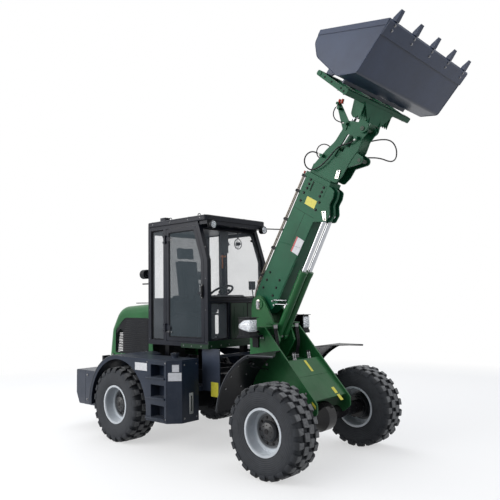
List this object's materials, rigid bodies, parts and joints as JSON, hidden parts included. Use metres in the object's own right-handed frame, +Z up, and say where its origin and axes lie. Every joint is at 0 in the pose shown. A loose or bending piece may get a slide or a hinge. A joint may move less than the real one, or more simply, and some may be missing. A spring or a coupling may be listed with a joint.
{
  "type": "articulated telescopic loader",
  "caption": "Compact articulated telescopic handler with a raised two-section boom, rolled-back toothed bucket, side cab and rear engine hood.",
  "frame": {"origin": "on the ground under the middle of the overall length and width, wheels standing on z = 0", "axes": "+X forward to the bucket, +Y to the machine's left, +Z up"},
  "size_m": [6.243, 2.372, 5.0229],
  "materials": {
    "green_paint": "green gloss enamel",
    "slate_paint": "dark slate grey semi-gloss enamel",
    "black_paint": "black semi-gloss enamel",
    "silver_paint": "silver wheel enamel",
    "tyre_rubber": "matt black rubber",
    "chrome_rod": "hard chromed rod",
    "steel_pin": "zinc plated steel",
    "cast_block": "painted casting",
    "cab_glass": "clear glass",
    "black_plastic": "black textured plastic",
    "seat_fabric": "grey woven seat cloth",
    "hose_rubber": "black hose rubber"
  },
  "bodies": {
    "rear_frame": {"rear_chassis": "black_paint", "rear_axle": "black_paint", "counterweight": "slate_paint", "engine_block": "cast_block", "rear_fenders": "slate_paint", "fuel_tank_steps": "slate_paint", "hydraulic_tank_steps": "slate_paint", "side_panels": "slate_paint", "cab_frame": "black_paint", "cab_cowl": "green_paint", "cab_roof": "black_paint", "cab_glass": "cab_glass", "cab_hinges": "black_paint", "seat_base": "black_plastic", "seat_cushion": "seat_fabric", "seat_back": "seat_fabric", "dashboard": "black_plastic", "roof_lamps": "black_paint", "mirror": "black_paint", "rear_lamps": "black_paint", "rear_frame_pins": "steel_pin"},
    "hood": {"engine_hood": "green_paint", "hood_grilles": "black_paint"},
    "right_door": {"right_door": "black_paint", "right_door_glass": "cab_glass"},
    "left_door": {"left_door": "black_paint", "left_door_glass": "cab_glass"},
    "front_frame": {"front_frame": "green_paint", "front_axle": "black_paint", "front_frame_pins": "steel_pin", "front_fenders": "black_paint", "headlights": "black_paint", "tower_hoses": "hose_rubber"},
    "outer_boom": {"boom_outer": "green_paint", "boom_pipes": "green_paint"},
    "inner_boom": {"boom_inner": "green_paint", "head_pins": "steel_pin", "head_hose_side": "hose_rubber", "head_hose_near": "hose_rubber", "head_hose_loop": "hose_rubber", "head_hose_coupler": "hose_rubber"},
    "lift_barrels": {"lift_barrels": "green_paint"},
    "lift_rods": {"lift_rods": "chrome_rod"},
    "tilt_barrel": {"tilt_barrel": "black_paint"},
    "tilt_rod": {"tilt_rod": "chrome_rod"},
    "bucket": {"hitch_frame": "green_paint", "bucket": "slate_paint", "bucket_teeth": "slate_paint"},
    "steering_barrel_right": {"steering_barrel_right": "black_paint"},
    "steering_rod_right": {"steering_rod_right": "chrome_rod"},
    "steering_barrel_left": {"steering_barrel_left": "black_paint"},
    "steering_rod_left": {"steering_rod_left": "chrome_rod"},
    "front_right_wheel": {"front_right_tyre": "tyre_rubber", "front_right_rim": "silver_paint"},
    "front_left_wheel": {"front_left_tyre": "tyre_rubber", "front_left_rim": "silver_paint"},
    "rear_right_wheel": {"rear_right_tyre": "tyre_rubber", "rear_right_rim": "silver_paint"},
    "rear_left_wheel": {"rear_left_tyre": "tyre_rubber", "rear_left_rim": "silver_paint"}
  },
  "joints": [
    {"name": "articulation", "type": "hinge", "parent": "rear_frame", "child": "front_frame", "pos_m": [0.10853, 0, 0.7], "axis": [0, 0, 1], "range_deg": [-30, 30]},
    {"name": "front_right_wheel_spin", "type": "hinge", "parent": "front_frame", "child": "front_right_wheel", "pos_m": [1.33853, -0.97, 0.5375], "axis": [0, 1, 0], "continuous": true},
    {"name": "front_left_wheel_spin", "type": "hinge", "parent": "front_frame", "child": "front_left_wheel", "pos_m": [1.33853, 0.97, 0.5375], "axis": [0, 1, 0], "continuous": true},
    {"name": "rear_right_wheel_spin", "type": "hinge", "parent": "rear_frame", "child": "rear_right_wheel", "pos_m": [-1.51147, -0.97, 0.5375], "axis": [0, 1, 0], "continuous": true},
    {"name": "rear_left_wheel_spin", "type": "hinge", "parent": "rear_frame", "child": "rear_left_wheel", "pos_m": [-1.51147, 0.97, 0.5375], "axis": [0, 1, 0], "continuous": true},
    {"name": "boom_lift", "type": "hinge", "parent": "front_frame", "child": "outer_boom", "pos_m": [0.46853, 0, 1.97], "axis": [0, -1, 0], "range_deg": [-86, 3]},
    {"name": "boom_extend", "type": "slide", "parent": "outer_boom", "child": "inner_boom", "axis": [0.515, 0, 0.8572], "range_m": [0, 0.9]},
    {"name": "bucket_tilt", "type": "hinge", "parent": "inner_boom", "child": "bucket", "pos_m": [2.15845, 0, 4.08934], "axis": [0, -1, 0], "range_deg": [-70, 45]},
    {"name": "lift_barrel_swing", "type": "hinge", "parent": "front_frame", "child": "lift_barrels", "pos_m": [0.70053, 0, 1.53], "axis": [0, -1, 0], "range_deg": [-92.54, 4.19]},
    {"name": "lift_rod_slide", "type": "slide", "parent": "lift_barrels", "child": "lift_rods", "axis": [0.4752, 0, 0.8799], "range_m": [-0.6746, 0.0332]},
    {"name": "tilt_barrel_swing", "type": "hinge", "parent": "inner_boom", "child": "tilt_barrel", "pos_m": [1.25147, 0, 3.38951], "axis": [0, -1, 0], "range_deg": [-8.6, 5.89]},
    {"name": "tilt_rod_slide", "type": "slide", "parent": "tilt_barrel", "child": "tilt_rod", "axis": [0.6288, 0, 0.7776], "range_m": [-0.1795, 0.2737]},
    {"name": "steering_barrel_right_swing", "type": "hinge", "parent": "rear_frame", "child": "steering_barrel_right", "pos_m": [-0.49147, -0.3, 0.7], "axis": [0, 0, 1], "range_deg": [-7, 7]},
    {"name": "steering_rod_right_slide", "type": "slide", "parent": "steering_barrel_right", "child": "steering_rod_right", "axis": [0.998, 0.064, 0], "range_m": [-0.1444, 0.1444]},
    {"name": "steering_barrel_left_swing", "type": "hinge", "parent": "rear_frame", "child": "steering_barrel_left", "pos_m": [-0.49147, 0.3, 0.7], "axis": [0, 0, 1], "range_deg": [-7, 7]},
    {"name": "steering_rod_left_slide", "type": "slide", "parent": "steering_barrel_left", "child": "steering_rod_left", "axis": [0.998, -0.064, 0], "range_m": [-0.1444, 0.1444]},
    {"name": "right_door_swing", "type": "hinge", "parent": "rear_frame", "child": "right_door", "pos_m": [-0.97647, -0.64, 2], "axis": [0, 0, -1], "range_deg": [0, 100]},
    {"name": "left_door_swing", "type": "hinge", "parent": "rear_frame", "child": "left_door", "pos_m": [-0.97647, 0.64, 2], "axis": [0, 0, 1], "range_deg": [0, 100]},
    {"name": "hood_lift", "type": "hinge", "parent": "rear_frame", "child": "hood", "pos_m": [-1.43147, 0, 2.022], "axis": [0, 1, 0], "range_deg": [0, 60]}
  ],
  "couplings": [
    {"joint": "lift_barrel_swing", "follows": "boom_lift", "ratio": 1.0645},
    {"joint": "lift_rod_slide", "follows": "boom_lift", "m_per_rad": 0.44275},
    {"joint": "tilt_barrel_swing", "follows": "bucket_tilt", "ratio": 0.10857},
    {"joint": "tilt_rod_slide", "follows": "bucket_tilt", "m_per_rad": -0.21583},
    {"joint": "steering_barrel_right_swing", "follows": "articulation", "ratio": 0.19984},
    {"joint": "steering_rod_right_slide", "follows": "articulation", "m_per_rad": 0.25675},
    {"joint": "steering_barrel_left_swing", "follows": "articulation", "ratio": 0.19984},
    {"joint": "steering_rod_left_slide", "follows": "articulation", "m_per_rad": -0.25675}
  ]
}
